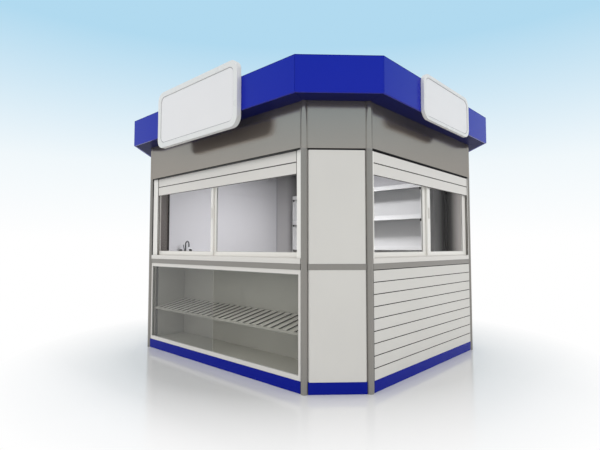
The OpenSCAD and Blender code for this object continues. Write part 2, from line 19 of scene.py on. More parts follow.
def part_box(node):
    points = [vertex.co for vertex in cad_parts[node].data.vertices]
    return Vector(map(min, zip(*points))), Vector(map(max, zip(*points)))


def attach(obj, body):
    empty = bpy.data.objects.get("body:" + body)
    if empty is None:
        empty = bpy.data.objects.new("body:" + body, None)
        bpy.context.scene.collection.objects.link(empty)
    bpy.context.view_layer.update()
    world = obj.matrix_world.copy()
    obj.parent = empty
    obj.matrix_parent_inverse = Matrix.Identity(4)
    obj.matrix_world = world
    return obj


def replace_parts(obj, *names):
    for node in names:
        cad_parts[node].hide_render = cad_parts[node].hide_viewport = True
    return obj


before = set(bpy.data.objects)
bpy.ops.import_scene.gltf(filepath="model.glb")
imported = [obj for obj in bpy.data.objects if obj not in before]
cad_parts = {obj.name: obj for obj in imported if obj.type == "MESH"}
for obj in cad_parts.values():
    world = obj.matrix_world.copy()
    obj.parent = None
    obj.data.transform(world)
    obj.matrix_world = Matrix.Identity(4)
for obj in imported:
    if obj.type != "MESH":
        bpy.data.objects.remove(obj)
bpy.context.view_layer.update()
BODY = "root"

# The axis that a wall faces along
FRONT_WALL = 1
SIDE_WALL = 0

# Camera, found by fitting the CAD to the photograph
PHOTO_W = 600
FOCAL_PX = 429.08
SENSOR_W = 36.0
CAMERA_AT = (3.6174, -4.0260, 1.1830)
CAMERA_PITCH = 2.99
CAMERA_YAW = 42.78

# Stage and light; a stop of the sky is the upward part of a ray's direction and a linear colour
WHITE = (1, 1, 1)
SKY_LIGHT = 1.02
SKY_STOPS = (
    (0.02, WHITE),
    (0.18, (0.88, 0.94, 0.97)),
    (0.43, (0.44, 0.7, 0.87)),
)
KEY_WATTS = 40.0
KEY_SIZE = (5.0, 5.0)
KEY_AIM = (0, 0, 1)
KEYS_AT = {"front_key": (-1.5, -9.0, 3.2), "side_key": (9.0, 1.5, 3.2)}
ROOM_WATTS = 54.0
ROOM_LAMP_GAP = 0.03
ROOM_LAMP_SIZE = (1.1, 0.5)
ROOM_LAMP_AT = (0.14, -0.12)
ROOM_TINT = (0.98, 0.98, 1.0)
FLOOR_SIZE = 120.0
FLOOR_COLOUR = (0.8, 0.8, 0.8)
FLOOR_SHINE = 0.6
FLOOR_ROUGH = 0.14
FADE_FROM = 2.0
FADE_TO = 3.3

# Mesh clean-up and edge rounding
WELD = 2e-5
FLAT = math.radians(1.0)
SHARP = math.radians(35.0)
ROD_STEPS = 24
EDGE = 0.002
EDGE_STEPS = 2
EDGES = {
    "fascia_boards": 0.003,
    "plinth_boards": 0.003,
    "front_shutter": 0.0008,
    "right_shutter": 0.0008,
    "front_sign": 0.005,
    "right_sign": 0.004,
    "display_rack": 0.0015,
    "front_window_sashes": 0.0015,
    "right_window_sashes": 0.0015,
    "front_window_glass": 0.0005,
    "right_window_glass": 0.0005,
    "showcase_glass": 0.0005,
    "corner_posts": 0.001,
    "mixer_tap": 0.001,
    "door_handles": 0.001,
    "sink_counter": 0.0015,
    "door_leaf": 0.0006,
    "door_frame": 0.0006,
    "left_panels": 0.0006,
}

# Values that finishes share; nearly all of a noise lies in the band from low to high
NOISE_LOW = 0.3
NOISE_HIGH = 0.7
EVEN = (1, 1, 1)
BOARD_ROUGH = 0.42
LINING_SHINE = 0.3
ENAMEL_SHINE = 0.2
ENAMEL_TINT = (0.6, 0.6, 0.6, 1)
MIRROR_BLEND = 0.5
MIRROR_POWER = 5.0
ALONG_GRAIN = (0.06, 1, 1)
ALONG_FIBRES = (0.05, 1, 1)

# The inner corners behind the shelf ends, in plan, and the linear colours of the painted shade that a lining
# takes at and near them
SHADED_CORNER = (1.2285, 1.3648)
DEEPEST_SHADE = (0.02, 0.019, 0.017)
NEAR_CORNER_SHADE = (0.04, 0.038, 0.035)

# How clearly a face has to look a way, as a part of its unit normal
TOWARDS = 0.3
ASLANT = 0.5
MAINLY = 0.7
SQUARELY = 0.9

# How deep picked faces lie, how narrow and large they are, and how far along a wall a hatch's sides stand
SLOT_SKIN = 0.003
GROOVE_SKIN = 0.001
GROOVE_MOST = 0.03
SIGN_SKIN = 0.003
SIGN_RECESS_MOST = 0.02
SEAM_MOST = 0.008
SEAM_AREA = 0.008
FRONT_HATCH_SIDE = 1.0
RIGHT_HATCH_SIDE = 0.9

# Small fittings and pieces of painted shade: W is a width, H a height, T a thickness and R a radius
SHEET_T = 0.0015
STRIP_PROUD = 0.0003
SASH_BITE = 0.008  # depth of a pane in its sash
CASE_BITE = 0.010  # depth of a pane in the showcase frame
SEAL_W = 0.004
SEAL_T = 0.003
JOINT_W = 0.006
RIM_SHADE_W = 0.006
RIM_SHADE_T = 0.001
PULL_W = 0.014
PULL_H = 0.11
PULL_T = 0.009
FRONT_STILE_W = 0.037
SIDE_STILE_W = 0.063
GUIDE_GRIP = 0.0087  # depth of a slat in its guide
HATCH_SHADE_W = 0.008
SEAM_SHADE_RISE = 0.006  # from the shutter's middle up to the strip
SEAM_SHADE_H = 0.003
SHELF_SHADE_W = 0.024
SHELF_SHADE_H = 0.032
SHELF_SHADE_T = 0.012
HALF_CORNER = math.radians(22.5)  # half the turn from bay to bay
LARGE_SHADE_BEAD_R = 0.03
MIDDLE_SHADE_BEAD_R = 0.018
SMALL_BEAD_R = 0.009
HEAD_SHADE_H = 0.008
SEALANT_LAP = 0.001  # reach of the sealant into its neighbours
SEALANT_STEPS = 12
SCREW_R = 0.006
SCREW_T = 0.0015
SCREW_INSET = 0.12
SCREW_STEPS = 16
CAP_T = 0.004
SEAM_STEP = 0.95
SEAM_W = 0.08
SEAM_T = 0.003
DRAUGHT_W = 0.003
DRAUGHT_DEPTH = 0.01
KICK_EDGE = 0.03
KICK_H = 0.2
THRESHOLD_H = 0.006
LOCK_INSET = 0.06
LOCK_DROP = 0.09
KEY_PLATE_R = 0.022
KEY_PLATE_T = 0.006
KEYHOLE_R = 0.005
KEYHOLE_PROUD = SHEET_T / 3
KEYHOLE_STEPS = 16


# Finishes


def srgb(code):
    """Linear colour of a hex code such as 1222A1."""
    parts = [int(code[i : i + 2], 16) / 255 for i in (0, 2, 4)]
    return tuple(part / 12.92 if part <= 0.04045 else ((part + 0.055) / 1.055) ** 2.4 for part in parts)


def add(tree, kind, inputs=None, **settings):
    """A new node with its inputs and properties set by name."""
    node = tree.nodes.new(kind)
    for key, value in settings.items():
        setattr(node, key, value)
    for key, value in (inputs or {}).items():
        node.inputs[key].default_value = value
    return node


def surface(name, **sockets):
    """A new Principled material: the material, its node tree and its shader."""
    made = bpy.data.materials.new(name)
    made.use_nodes = True
    shader = made.node_tree.nodes["Principled BSDF"]
    for key, value in sockets.items():
        shader.inputs[key.replace("_", " ").title().replace("Ior", "IOR")].default_value = value
    return made, made.node_tree, shader


def colour_ramp(tree, *stops):
    """A ramp through stops in rising order, each a position and a linear colour."""
    ramp = add(tree, "ShaderNodeValToRGB")
    elements = ramp.color_ramp.elements
    for element, (position, colour) in zip(elements, (stops[0], stops[-1])):
        element.position = position
        element.color = (*colour, 1)
    for position, colour in stops[1:-1]:
        elements.new(position).color = (*colour, 1)
    return ramp


def noise(tree, scale, detail, stretch):
    """Noise over the part's own coordinates in metres, stretched along its axes."""
    place = add(tree, "ShaderNodeTexCoord")
    spread = add(tree, "ShaderNodeMapping", {"Scale": stretch})
    grain = add(tree, "ShaderNodeTexNoise", {"Scale": scale, "Detail": detail})
    tree.links.new(place.outputs["Object"], spread.inputs["Vector"])
    tree.links.new(spread.outputs["Vector"], grain.inputs["Vector"])
    return grain.outputs["Fac"]


def drift(tree, shader, code, share, scale, stretch=EVEN, detail=4.0):
    """Base colour that drifts by a share of itself over the surface."""
    darker = [part * (1 - share) for part in srgb(code)]
    lighter = [min(1, part * (1 + share)) for part in srgb(code)]
    ramp = colour_ramp(tree, (NOISE_LOW, darker), (NOISE_HIGH, lighter))
    tree.links.new(noise(tree, scale, detail, stretch), ramp.inputs["Fac"])
    tree.links.new(ramp.outputs["Color"], shader.inputs["Base Color"])


def gloss(tree, shader, rough, spread, scale, stretch=EVEN, detail=3.0):
    """Roughness that drifts round a value, as wiped and handled surfaces do."""
    span = add(tree, "ShaderNodeMapRange", {"From Min": NOISE_LOW, "From Max": NOISE_HIGH})
    span.inputs["To Min"].default_value = rough - spread
    span.inputs["To Max"].default_value = rough + spread
    tree.links.new(noise(tree, scale, detail, stretch), span.inputs["Value"])
    tree.links.new(span.outputs["Result"], shader.inputs["Roughness"])


def texture(tree, shader, scale, depth, stretch=EVEN, detail=2.0):
    """A fine relief of a given depth in metres."""
    bump = add(tree, "ShaderNodeBump", {"Strength": 1.0, "Distance": depth})
    tree.links.new(noise(tree, scale, detail, stretch), bump.inputs["Height"])
    tree.links.new(bump.outputs["Normal"], shader.inputs["Normal"])


def paint(name, code, rough, shine):
    """Sprayed paint with a faint orange peel."""
    made, tree, shader = surface(name, specular_ior_level=shine)
    drift(tree, shader, code, share=0.012, scale=1.3)
    gloss(tree, shader, rough, spread=0.01, scale=5.0)
    texture(tree, shader, scale=420.0, depth=0.000004)
    return made


def melamine(tree, shader, rough):
    """The gloss and the fine pearl texture of a melamine face."""
    gloss(tree, shader, rough, spread=0.02, scale=3.0)
    texture(tree, shader, scale=500.0, depth=0.000004, detail=3.0)


def board(name, code, rough=BOARD_ROUGH, shine=0.3, share=0.012):
    """Melamine-faced board with a faint cloud of colour."""
    made, tree, shader = surface(name, specular_ior_level=shine)
    drift(tree, shader, code, share, scale=2.2)
    melamine(tree, shader, rough)
    return made


def lining(name, code, dark, full):
    """Wall lining that darkens towards the inner corners behind the shelf ends.

    The darkening is painted shade: it is dark up to one distance from the corner and has its full colour
    from another on.
    """
    made, tree, shader = surface(name, specular_ior_level=LINING_SHINE)
    place = add(tree, "ShaderNodeTexCoord")
    mirrored = add(tree, "ShaderNodeVectorMath", operation="ABSOLUTE")
    offset = add(tree, "ShaderNodeVectorMath", {1: SHADED_CORNER + (0,)}, operation="SUBTRACT")
    level = add(tree, "ShaderNodeVectorMath", {1: (1, 1, 0)}, operation="MULTIPLY")
    reach = add(tree, "ShaderNodeVectorMath", operation="LENGTH")
    # Painted shade: the colour runs from the deepest shade at the corner to the lining's own colour
    ramp = colour_ramp(tree, (0, DEEPEST_SHADE), (dark, NEAR_CORNER_SHADE), (full, srgb(code)))
    tree.links.new(place.outputs["Object"], mirrored.inputs[0])
    tree.links.new(mirrored.outputs[0], offset.inputs[0])
    tree.links.new(offset.outputs[0], level.inputs[0])
    tree.links.new(level.outputs[0], reach.inputs[0])
    tree.links.new(reach.outputs["Value"], ramp.inputs["Fac"])
    tree.links.new(ramp.outputs["Color"], shader.inputs["Base Color"])
    melamine(tree, shader, BOARD_ROUGH)
    return made


def brushed(name, code, rough, metal, stretch):
    """Metal brushed along one axis: streaks in colour, gloss and relief."""
    made, tree, shader = surface(name, metallic=metal)
    drift(tree, shader, code, share=0.01, scale=60.0, stretch=stretch)
    gloss(tree, shader, rough, spread=0.008, scale=90.0, stretch=stretch)
    texture(tree, shader, scale=240.0, depth=0.000001, stretch=stretch)
    return made


def enamel(name, code, rough, metal):
    """Smooth enamelled sheet with a sheen and the slight waves of thin metal."""
    sheen = {"specular_ior_level": ENAMEL_SHINE, "specular_tint": ENAMEL_TINT}
    made, tree, shader = surface(name, metallic=metal, **sheen)
    drift(tree, shader, code, share=0.015, scale=1.6)
    gloss(tree, shader, rough, spread=0.01, scale=2.0)
    texture(tree, shader, scale=4.0, depth=0.00003)
    return made


def panes(name, tint, least, most, rough=0.01):
    """Clear glass: tinted see-through, with a mirror that grows towards grazing angles."""
    made = bpy.data.materials.new(name)
    made.use_nodes = True
    tree = made.node_tree
    tree.nodes.remove(tree.nodes["Principled BSDF"])
    facing = add(tree, "ShaderNodeLayerWeight", {"Blend": MIRROR_BLEND})
    rise = add(tree, "ShaderNodeMath", {1: MIRROR_POWER}, operation="POWER")
    span = add(tree, "ShaderNodeMapRange", {"To Min": least, "To Max": most})
    clear = add(tree, "ShaderNodeBsdfTransparent", {"Color": tint + (1,)})
    mirror = add(tree, "ShaderNodeBsdfGlossy", {"Roughness": rough})
    mix = add(tree, "ShaderNodeMixShader")
    tree.links.new(facing.outputs["Facing"], rise.inputs[0])
    tree.links.new(rise.outputs[0], span.inputs["Value"])
    tree.links.new(span.outputs["Result"], mix.inputs[0])
    tree.links.new(clear.outputs[0], mix.inputs[1])
    tree.links.new(mirror.outputs[0], mix.inputs[2])
    tree.links.new(mix.outputs[0], tree.nodes["Material Output"].inputs["Surface"])
    return made


def timber(name, code):
    """Sawn softwood with its grain along X."""
    made, tree, shader = surface(name, specular_ior_level=0.2)
    drift(tree, shader, code, share=0.25, scale=30.0, stretch=ALONG_GRAIN)
    gloss(tree, shader, rough=0.7, spread=0.08, scale=12.0)
    texture(tree, shader, scale=160.0, depth=0.0004, stretch=ALONG_FIBRES)
    return made


def vinyl(name, code):
    """Speckled sheet vinyl."""
    made, tree, shader = surface(name, specular_ior_level=0.35)
    drift(tree, shader, code, share=0.16, scale=300.0)
    gloss(tree, shader, rough=0.38, spread=0.06, scale=4.0)
    texture(tree, shader, scale=500.0, depth=0.0001)
    return made


def felt(name, code):
    """Mineral roofing felt: coarse granules and weather stains."""
    made, tree, shader = surface(name, specular_ior_level=0.2)
    drift(tree, shader, code, share=0.22, scale=3.0)
    gloss(tree, shader, rough=0.85, spread=0.06, scale=40.0)
    texture(tree, shader, scale=700.0, depth=0.0008, detail=4.0)
    return made


FINISH = {
    "timber": timber("timber_sawn", "B08B5E"),
    "floor": vinyl("floor_vinyl", "5E5B57"),
    "blue_gloss": paint("blue_paint", "1022A6", rough=0.2, shine=0.17),
    "post_grey": brushed("post_satin", "8E8A84", rough=0.38, metal=0.25, stretch=(1, 1, 0.02)),
    # The dark paint of the shadow rails, also used as painted shade on the head panels' undersides
    "shadow_rail": paint("rail_dark", "26262A", rough=0.5, shine=0.2),
    "head_grey": enamel("head_panel", "A39A91", rough=0.17, metal=0.85),
    "panel_white": board("panel_laminate", "DAD7D1"),
    "frame_white": paint("frame_paint", "E0DCD6", rough=0.3, shine=0.35),
    "clear_glass": panes("pane_glass", (0.985, 0.985, 0.985), least=0.004, most=0.15),
    "board_white": board("board_laminate", "C6C6CA"),
    "rack_white": paint("rack_paint", "D2D0CA", rough=0.35, shine=0.3),
    "door_grey": paint("door_paint", "918E89", rough=0.4, shine=0.3),
    "steel": brushed("steel_satin", "C9CBCD", rough=0.2, metal=1.0, stretch=(1, 1, 0.1)),
    "roof_sheet": felt("roof_felt", "77797B"),
    "sign_white": paint("sign_case", "E4E4E2", rough=0.28, shine=0.4),
}
# Painted shade: the blue paint darkened to navy for the soffit under the eaves
SHADED_SOFFIT = paint("shaded_soffit_navy", "060F4E", rough=0.45, shine=0.03)
SIGN_FACE = board("sign_acrylic", "EAE8E8", rough=0.2, shine=0.45, share=0.01)
# Painted shade: a grey for the ring that copies the rim's shadow on the sign face
SIGN_RIM_SHADE = paint("sign_gasket", "9C9B9D", rough=0.6, shine=0.2)
# Linings with painted shade near the inner corners; the chamfer sides are darker copies with a wider reach
# of painted shade, the right one darker still
LINING = lining("wall_lining", "D7D6D9", dark=0.05, full=0.19)
REAR_LINING = lining("rear_lining", "D0D0D0", dark=0.05, full=0.19)
SHADED_CHAMFER = lining("shaded_chamfer", "B0AEAF", dark=0.1, full=0.33)
RIGHT_CHAMFER_SHADE = lining("right_chamfer_shade", "AAA5A1", dark=0.15, full=0.39)
CASE_BOARD = board("case_board", "AEACA6")
CASE_FLOOR = board("case_floor", "C2C0B9")
# Painted shade: a darker grey for the front edges of the showcase's ends
CASE_FRONT_SHADE = board("case_front_shade", "84817B")
PLINTH = paint("plinth_paint", "0B1A8E", rough=0.25, shine=0.08)
TAP = brushed("tap_chrome", "707276", rough=0.12, metal=1.0, stretch=EVEN)
# Painted shade: a dark brown for the room faces of the front corner panels
FRONT_CORNER_SHADE = board("front_corner_shade", "5C554F")
CEILING = board("ceiling_board", "A9A9AB")
# Painted shade: a near-black for slots, grooves, seams, the posts' room faces, corner beads and strips where
# shade falls, and for the keyholes' openings
SHADE_DARK = paint("painted_shade_dark", "2E2C2A", rough=0.6, shine=0.1)
SHOWCASE_GLASS = panes("showcase_pane", (0.97, 0.97, 0.955), least=0.012, most=0.6)
# Painted reflection: the left showcase pane is a second copy of the glass with a greyer tint and a stronger,
# blurred mirror, for the glare it shows
LEFT_PANE_GLARE = panes("showcase_pane_left_glare", (0.9, 0.9, 0.885), least=0.055, most=0.7, rough=0.15)
# Painted shade: a dark grey for the sides of the hatches' guides and sashes that face the opening, and for
# the strips where the slats enter the guides
HATCH_SIDE_SHADE = paint("hatch_side_shade", "5A554F", rough=0.8, shine=0.1)
SHELF = board("shelf_board", "D6D6D6")
# Painted shade: the shelf board darkened for the shelves' undersides
SHELF_UNDERSIDE_SHADE = board("shelf_underside_shade", "8C8C8C")
GUIDE = paint("guide_paint", "F2EFE9", rough=0.3, shine=0.35)
# Painted shade: a dark grey on the rack slats' sides, for the shade in the gaps between them
RACK_SIDE_SHADE = paint("rack_side_shade", "4A4844", rough=0.6, shine=0.1)
RACK_RAIL = paint("rack_rail", "A3A19B", rough=0.5, shine=0.2)
BEAD = board("bead_grey", "A4A3A7")
PALE_RUBBER = paint("seal_pale", "B9B8B4", rough=0.6, shine=0.2)


# Meshes


def welded(node):
    """A bmesh of a CAD node with its vertices joined and flat faces merged."""
    bm = bmesh.new()
    bm.from_mesh(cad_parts[node].data)
    bmesh.ops.remove_doubles(bm, verts=bm.verts, dist=WELD)
    bmesh.ops.dissolve_limit(bm, angle_limit=FLAT, verts=bm.verts, edges=bm.edges)
    return bm


def solids(node):
    """The lowest and highest corners of each solid in a CAD node."""
    bm = welded(node)
    left = set(bm.verts)
    found = []
    while left:
        reach = [left.pop()]
        points = []
        while reach:
            vert = reach.pop()
            points.append(vert.co.copy())
            for edge in vert.link_edges:
                other = edge.other_vert(vert)
                if other in left:
                    left.remove(other)
                    reach.append(other)
        low = Vector(min(values) for values in zip(*points))
        high = Vector(max(values) for values in zip(*points))
        found.append((low, high))
    bm.free()
    return sorted(found, key=lambda box: tuple(box[0]))


def bevelled(bm, width):
    """Rounds every sharp edge of a bmesh."""
    sharp = [edge for edge in bm.edges if edge.is_manifold and edge.calc_face_angle() > SHARP]
    bmesh.ops.bevel(
        bm, geom=sharp, offset=width, segments=EDGE_STEPS, profile=0.5, affect="EDGES", clamp_overlap=True
    )


def keep_faces(bm, wanted):
    """Deletes the faces of a bmesh that fail a test."""
    bmesh.ops.delete(bm, geom=[face for face in bm.faces if not wanted(face)], context="FACES")


def thickened(bm, lift):
    """Draws the sheets of a bmesh out by a vector, into plates."""
    raised = bmesh.ops.extrude_face_region(bm, geom=bm.faces[:], use_keep_orig=True)["geom"]
    verts = [item for item in raised if isinstance(item, bmesh.types.BMVert)]
    bmesh.ops.translate(bm, vec=lift, verts=verts)


def add_box(bm, low, high):
    """A box between two corners."""
    size = Vector(high) - Vector(low)
    middle = (Vector(high) + Vector(low)) / 2
    place = Matrix.Translation(middle) @ Matrix.Diagonal(size.to_4d())
    bmesh.ops.create_cube(bm, size=1.0, matrix=place)


def add_rod(bm, start, end, radius, steps=ROD_STEPS):
    """A round bar between two points."""
    start, end = Vector(start), Vector(end)
    turn = (end - start).to_track_quat("Z", "Y").to_matrix().to_4x4()
    place = Matrix.Translation((start + end) / 2) @ turn
    bmesh.ops.create_cone(
        bm,
        cap_ends=True,
        segments=steps,
        radius1=radius,
        radius2=radius,
        depth=(end - start).length,
        matrix=place,
    )


def add_upright(bm, at, heights, radius, steps=ROD_STEPS):
    """An upright round bar at a place in plan, between two heights."""
    foot, top = heights
    add_rod(bm, (at.x, at.y, foot), (at.x, at.y, top), radius, steps)


def about(middle, width):
    """The two ends of a width round its middle."""
    return middle - width / 2, middle + width / 2


def slab(bm, axis, along, through, heights):
    """A box on a wall that faces along an axis: its reach along the wall, through it and in height."""
    low, high = Vector(), Vector()
    low[1 - axis], high[1 - axis] = along
    low[axis], high[axis] = through
    low.z, high.z = heights
    add_box(bm, low, high)


def ring(bm, axis, along, through, heights, width):
    """Four bars round the inside of an opening in a wall."""
    left, right = along
    foot, top = heights
    slab(bm, axis, along, through, (foot, foot + width))
    slab(bm, axis, along, through, (top - width, top))
    for start in (left, right - width):
        slab(bm, axis, (start, start + width), through, (foot + width, top - width))


# Pieces of the part

posts = solids("corner_posts")
POST_AXES = [((low + high) / 2).xy for low, high in posts]
POST_R = (posts[0][1].x - posts[0][0].x) / 2
HEAD_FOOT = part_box("head_panels")[0].z
FRONT_SIGN_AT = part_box("front_sign")[0].y
RIGHT_SIGN_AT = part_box("right_sign")[1].x

# Heights at which the faces of a node are cut, so that a finish can end there
CUT_AT = {"corner_posts": HEAD_FOOT}


def as_piece(bm, name, slot, *finishes):
    """Makes a piece of the part from a bmesh, with its finishes, riding on the body."""
    mesh = bpy.data.meshes.new(name)
    bmesh.ops.recalc_face_normals(bm, faces=bm.faces)
    bm.to_mesh(mesh)
    bm.free()
    for finish in finishes:
        mesh.materials.append(finish)
    mesh.shade_smooth()
    mesh.set_sharp_from_angle(angle=SHARP)
    piece = bpy.data.objects.new(name, mesh)
    bpy.context.scene.collection.objects.link(piece)
    even = piece.modifiers.new("even_normals", "WEIGHTED_NORMAL")
    even.keep_sharp = True
    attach(piece, BODY)
    return piece


def dressed(node, finish=None, extras=()):
    """Shows a CAD node by a copy with rounded edges.

    Each extra is a finish and a test: a face takes the first extra whose test it meets.
    """
    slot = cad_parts[node].material_slots[0].material.name
    bm = welded(node)
    bevelled(bm, EDGES.get(node, EDGE))
    if node in CUT_AT:
        everything = bm.verts[:] + bm.edges[:] + bm.faces[:]
        bmesh.ops.bisect_plane(bm, geom=everything, plane_co=(0, 0, CUT_AT[node]), plane_no=(0, 0, 1))
    bm.normal_update()
    for face in bm.faces:
        for index, (_, test) in enumerate(extras, 1):
            if test(face):
                face.material_index = index
                break
    finishes = [finish or FINISH[slot]] + [extra for extra, _ in extras]
    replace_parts(as_piece(bm, node + "_finish", slot, *finishes), node)


def on_left(face):
    """True for the left one of two pieces."""
    return face.calc_center_median().x < 0


def faces_along(face):
    """True for a face that looks along the front, such as the edges of the rack's slats."""
    return abs(face.normal.x) > MAINLY


def faces_front(face):
    """True for a face that looks to the front."""
    return face.normal.y < -MAINLY


def faces_down(face):
    """True for the underside of a piece."""
    return face.normal.z < -MAINLY


def faces_up(face):
    """True for the level top of a piece."""
    return face.normal.z >= SQUARELY


def faces_room(face):
    """True for a face of a wall that looks into the room."""
    centre = face.calc_center_median()
    return face.normal.xy.dot(centre.xy) < -TOWARDS * centre.xy.length


def faces_room_aslant(face):
    """True for a face of a chamfered corner that looks into the room."""
    return faces_room(face) and min(abs(face.normal.x), abs(face.normal.y)) > ASLANT


def faces_room_at_front(face):
    """True for a face of a front corner panel that looks into the room."""
    return faces_room(face) and face.calc_center_median().y < 0


def faces_room_on_right(face):
    """True for a face of a right-hand corner panel that looks into the room."""
    return faces_room(face) and not on_left(face)


def beside_head(face):
    """True for a face of a post beside the head panels that doesn't look into the room."""
    return face.calc_center_median().z > HEAD_FOOT and not faces_room(face)


def in_slot(face):
    """True for a face inside a post's slot: it lies well inside the round of the nearest post."""
    centre = face.calc_center_median()
    post = min(POST_AXES, key=lambda axis: (axis - centre.xy).length)
    return (centre.xy - post).length < POST_R - SLOT_SKIN and abs(face.normal.z) < ASLANT


def in_groove(face):
    """True for the lips and the bottom of a groove across the slatted panel's outer face."""
    low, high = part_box("right_slat_panel")
    centre = face.calc_center_median()
    inside = low.z + GROOVE_SKIN < centre.z < high.z - GROOVE_SKIN
    return GROOVE_SKIN < high.x - centre.x < GROOVE_MOST and inside


def in_seam(face):
    """True for a shutter slat's edges that look up or down and for the narrow hook between two slats."""
    heights = [vert.co.z for vert in face.verts]
    narrow = max(heights) - min(heights) < SEAM_MOST
    return abs(face.normal.z) > MAINLY or (narrow and face.calc_area() > SEAM_AREA)


def in_recess(axis, front):
    """Picks the faces of a sign that lie behind its rim, for a sign that faces along an axis."""

    def choose(face):
        depth = abs(face.calc_center_median()[axis] - front)
        return abs(face.normal[axis]) > SQUARELY and SIGN_SKIN < depth < SIGN_RECESS_MOST

    return choose


def faces_hatch(axis, side):
    """Picks the faces that look to the middle of a wall, on the pieces at the sides of its hatch."""

    def choose(face):
        along = face.calc_center_median()[1 - axis]
        return abs(along) > side and face.normal[1 - axis] * math.copysign(1, along) < -MAINLY

    return choose


FULL_FINISH = {
    "plinth_boards": PLINTH,
    "soffit_boards": SHADED_SOFFIT,
    "showcase_back": CASE_BOARD,
    "showcase_ends": CASE_BOARD,
    "showcase_floor": CASE_FLOOR,
    "showcase_glass": SHOWCASE_GLASS,
    "wall_shelves": SHELF,
    "front_shutter_guides": GUIDE,
    "right_shutter_guides": GUIDE,
    "front_window_sashes": GUIDE,
    "right_window_sashes": GUIDE,
    "shelf_uprights": SHELF,
    "mixer_tap": TAP,
    "ceiling_panel": CEILING,
}
LINED = [(SHADED_CHAMFER, faces_room_aslant), (LINING, faces_room)]
AT_FRONT_HATCH = faces_hatch(FRONT_WALL, FRONT_HATCH_SIDE)
EXTRAS = {
    "left_panels": LINED,
    "rear_panels": [(REAR_LINING, faces_room)],
    "door_frame": LINED,
    "door_leaf": LINED,
    # Painted shade in the grooves of the slatted panel
    "right_slat_panel": LINED + [(SHADE_DARK, in_groove)],
    "head_rails": LINED,
    # Painted shade: the head panels' undersides take the dark rail paint
    "head_panels": LINED + [(FINISH["shadow_rail"], faces_down)],
    # Painted shade on the corner panels' room faces: dark brown at the front, darker lining copies elsewhere
    "corner_panels_lower": [(FRONT_CORNER_SHADE, faces_room_at_front), (SHADED_CHAMFER, faces_room)],
    "corner_panels_upper": [
        (FRONT_CORNER_SHADE, faces_room_at_front),
        (RIGHT_CHAMFER_SHADE, faces_room_on_right),
        (SHADED_CHAMFER, faces_room),
    ],
    # Painted shade on the posts: their slot faces and the faces that look into the room
    "corner_posts": [(FINISH["head_grey"], beside_head), (SHADE_DARK, in_slot), (SHADE_DARK, faces_room)],
    # Painted shade on the sides of the hatches' guides and sashes that face the opening
    "front_shutter_guides": [(HATCH_SIDE_SHADE, AT_FRONT_HATCH)],
    "front_window_sashes": [(HATCH_SIDE_SHADE, AT_FRONT_HATCH)],
    "right_shutter_guides": [(HATCH_SIDE_SHADE, faces_hatch(SIDE_WALL, RIGHT_HATCH_SIDE))],
    # Painted shade on the shelves' undersides
    "wall_shelves": [(SHELF_UNDERSIDE_SHADE, faces_down)],
    "showcase_frame": [(CASE_BOARD, AT_FRONT_HATCH)],
    "showcase_glass": [(LEFT_PANE_GLARE, on_left)],
    "showcase_ends": [(CASE_FRONT_SHADE, faces_front)],
    "display_rack": [(RACK_SIDE_SHADE, faces_along), (RACK_RAIL, faces_front)],
    # Painted shade along the slats' seams
    "front_shutter": [(SHADE_DARK, in_seam)],
    "right_shutter": [(SHADE_DARK, in_seam)],
    "front_sign": [(SIGN_FACE, in_recess(FRONT_WALL, FRONT_SIGN_AT))],
    "right_sign": [(SIGN_FACE, in_recess(SIDE_WALL, RIGHT_SIGN_AT))],
}

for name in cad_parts:
    dressed(name, FULL_FINISH.get(name), EXTRAS.get(name, ()))


# Small fittings and pieces of painted shade


def glazing_seals(node, axis, boxes, bite):
    """Seals on both faces of the panes of a node, round the part of each pane that its frame leaves free."""
    bm = bmesh.new()
    for low, high in boxes:
        along = (low[1 - axis] + bite, high[1 - axis] - bite)
        heights = (low.z + bite, high.z - bite)
        ring(bm, axis, along, (low[axis] - SEAL_T, low[axis]), heights, SEAL_W)
        ring(bm, axis, along, (high[axis], high[axis] + SEAL_T), heights, SEAL_W)
    as_piece(bm, node + "_seals", "frame_white", PALE_RUBBER)


def sash_pulls(node, axis, outer, outwards, stile):
    """A pull on the outer sash's meeting stile, outside, and one on the inner sash's, in the room.

    Outer is the sign of the outer sash's end with the meeting stile, and outwards the sign of the way out.
    """
    bm = bmesh.new()
    boxes = sorted(solids(node), key=lambda box: box[0][axis] * outwards, reverse=True)
    for (low, high), face, towards in zip(boxes, (outwards, -outwards), (outer, -outer)):
        middle = high[1 - axis] - stile / 2 if towards > 0 else low[1 - axis] + stile / 2
        plane = high[axis] if face > 0 else low[axis]
        through = sorted((plane, plane + face * PULL_T))
        slab(bm, axis, about(middle, PULL_W), through, about((low.z + high.z) / 2, PULL_H))
    bevelled(bm, EDGE)
    as_piece(bm, node + "_pulls", "frame_white", FINISH["frame_white"])


def shutter_shade_strips():
    """Dark strips of painted shade where the front slats run into their guides."""
    bm = bmesh.new()
    low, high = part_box("front_shutter")
    through = (low.y - SHEET_T, low.y)
    for start in (low.x + GUIDE_GRIP, high.x - GUIDE_GRIP - HATCH_SHADE_W):
        slab(bm, FRONT_WALL, (start, start + HATCH_SHADE_W), through, (low.z, high.z))
    as_piece(bm, "front_shutter_guide_shade", "shadow_rail", HATCH_SIDE_SHADE)


def seam_shade_strips(node, axis):
    """A dark strip of painted shade along the lower edge of a shutter's upper slat, where the seam is."""
    bm = bmesh.new()
    low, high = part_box(node)
    along = (low[1 - axis] + GUIDE_GRIP, high[1 - axis] - GUIDE_GRIP)
    through = (low.y - STRIP_PROUD, low.y) if axis == FRONT_WALL else (high.x, high.x + STRIP_PROUD)
    foot = (low.z + high.z) / 2 + SEAM_SHADE_RISE
    slab(bm, axis, along, through, (foot, foot + SEAM_SHADE_H))
    as_piece(bm, node + "_seam_shade", "shadow_rail", SHADE_DARK)


